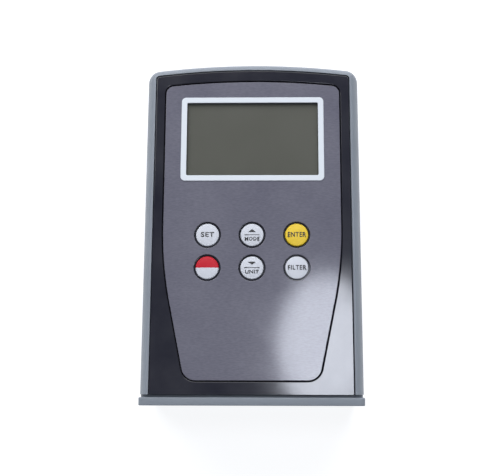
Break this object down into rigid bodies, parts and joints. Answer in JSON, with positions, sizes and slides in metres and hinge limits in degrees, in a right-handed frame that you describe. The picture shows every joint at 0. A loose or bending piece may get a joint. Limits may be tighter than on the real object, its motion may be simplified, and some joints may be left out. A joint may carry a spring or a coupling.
{
  "type": "handheld surface roughness tester",
  "caption": "Handheld surface roughness tester with a display and keypad, a leaning flat base with a stylus slot, a motor-driven pickup and a hinged battery door.",
  "frame": {"origin": "on the back face, under the middle of the outline's width and length, with the tester lying on its back", "axes": "+X to the right of the display, +Y from the base towards the display end, +Z out of the display face"},
  "size_m": [0.0868, 0.14, 0.048],
  "materials": {
    "shell_grey": "satin moulded",
    "face_black": "semi-gloss moulded",
    "label_grey": "satin overlay film",
    "print_white": "screen print",
    "window_clear": "clear polished",
    "lcd_olive": "polarised glass, unlit",
    "board_green": "solder mask",
    "chip_black": "moulded epoxy",
    "key_white": "satin moulded",
    "key_yellow": "satin moulded",
    "key_red": "satin moulded",
    "silicone_grey": "soft matte",
    "moulding_dark": "fine moulded",
    "steel": "turned",
    "brass": "machined",
    "aluminium": "milled",
    "cell_sleeve": "printed sleeve over steel",
    "ruby": "polished"
  },
  "bodies": {
    "housing": {"rear_shell": "shell_grey", "front_shell": "shell_grey", "face_panel": "face_black", "panel_label": "label_grey", "window_frame": "print_white", "display_window": "window_clear", "lcd_glass": "lcd_olive", "lcd_holder": "moulding_dark", "zebra_strip_upper": "silicone_grey", "zebra_strip_lower": "silicone_grey", "main_board": "board_green", "processor_chip": "chip_black", "keypad_mat": "silicone_grey", "battery_tray": "moulding_dark", "contact_plate_upper": "steel", "contact_plate_lower": "steel", "battery_1": "cell_sleeve", "battery_2": "cell_sleeve", "battery_3": "cell_sleeve", "battery_4": "cell_sleeve", "battery_spring_1": "steel", "battery_spring_2": "steel", "battery_spring_3": "steel", "battery_spring_4": "steel", "case_screw_1": "steel", "case_screw_2": "steel", "case_screw_3": "steel", "case_screw_4": "steel", "data_jack": "moulding_dark", "base_plinth": "shell_grey", "base_screw_1": "steel", "base_screw_2": "steel", "base_screw_3": "steel", "base_screw_4": "steel", "chassis_screw_1": "steel", "chassis_screw_2": "steel", "drive_chassis": "aluminium", "guide_rod_front": "steel", "guide_rod_rear": "steel", "screw_bush_left": "brass", "screw_bush_right": "brass", "drive_motor": "steel", "home_switch": "moulding_dark", "end_switch": "moulding_dark"},
    "set_key": {"set_key": "key_white"},
    "up_key": {"up_key": "key_white"},
    "start_key": {"start_key": "key_yellow"},
    "power_key": {"power_key": "key_red"},
    "down_key": {"down_key": "key_white"},
    "filter_key": {"filter_key": "key_white"},
    "battery_door": {"battery_door": "shell_grey"},
    "carriage": {"pickup_carriage": "aluminium", "pickup_tube": "steel", "pickup_skid": "ruby", "stylus_pivot_pin": "brass"},
    "stylus": {"stylus_lever": "steel"},
    "screw_train": {"lead_screw": "steel", "screw_gear": "brass"},
    "motor_train": {"motor_pinion": "brass", "motor_shaft": "steel"}
  },
  "joints": [
    {"name": "set_key_press", "type": "slide", "parent": "housing", "child": "set_key", "axis": [0, 0, -1], "range_m": [0, 0.0008], "stiffness_N_per_m": 1500},
    {"name": "up_key_press", "type": "slide", "parent": "housing", "child": "up_key", "axis": [0, 0, -1], "range_m": [0, 0.0008], "stiffness_N_per_m": 1500},
    {"name": "start_key_press", "type": "slide", "parent": "housing", "child": "start_key", "axis": [0, 0, -1], "range_m": [0, 0.0008], "stiffness_N_per_m": 1500},
    {"name": "power_key_press", "type": "slide", "parent": "housing", "child": "power_key", "axis": [0, 0, -1], "range_m": [0, 0.0008], "stiffness_N_per_m": 1500},
    {"name": "down_key_press", "type": "slide", "parent": "housing", "child": "down_key", "axis": [0, 0, -1], "range_m": [0, 0.0008], "stiffness_N_per_m": 1500},
    {"name": "filter_key_press", "type": "slide", "parent": "housing", "child": "filter_key", "axis": [0, 0, -1], "range_m": [0, 0.0008], "stiffness_N_per_m": 1500},
    {"name": "battery_door_hinge", "type": "hinge", "parent": "housing", "child": "battery_door", "pos_m": [0, -0.00635, 0], "axis": [-1, 0, 0], "range_deg": [0, 60]},
    {"name": "pickup_traverse", "type": "slide", "parent": "housing", "child": "carriage", "axis": [1, 0, 0], "range_m": [0, 0.0175]},
    {"name": "screw_turn", "type": "hinge", "parent": "housing", "child": "screw_train", "pos_m": [0, -0.04807, 0.02583], "axis": [1, 0, 0], "range_deg": [-5, 1805]},
    {"name": "motor_turn", "type": "hinge", "parent": "housing", "child": "motor_train", "pos_m": [0, -0.03731, 0.02677], "axis": [1, 0, 0], "range_deg": [-3610, 10]},
    {"name": "stylus_tilt", "type": "hinge", "parent": "carriage", "child": "stylus", "pos_m": [-0.012, -0.05803, 0.02496], "axis": [0, -0.0872, 0.9962], "range_deg": [-1.2, 1.2], "stiffness_Nm_per_rad": 0.004}
  ],
  "couplings": [
    {"joint": "screw_turn", "follows": "pickup_traverse", "rad_per_m": 1795.2},
    {"joint": "motor_turn", "follows": "pickup_traverse", "rad_per_m": -3590.4}
  ]
}
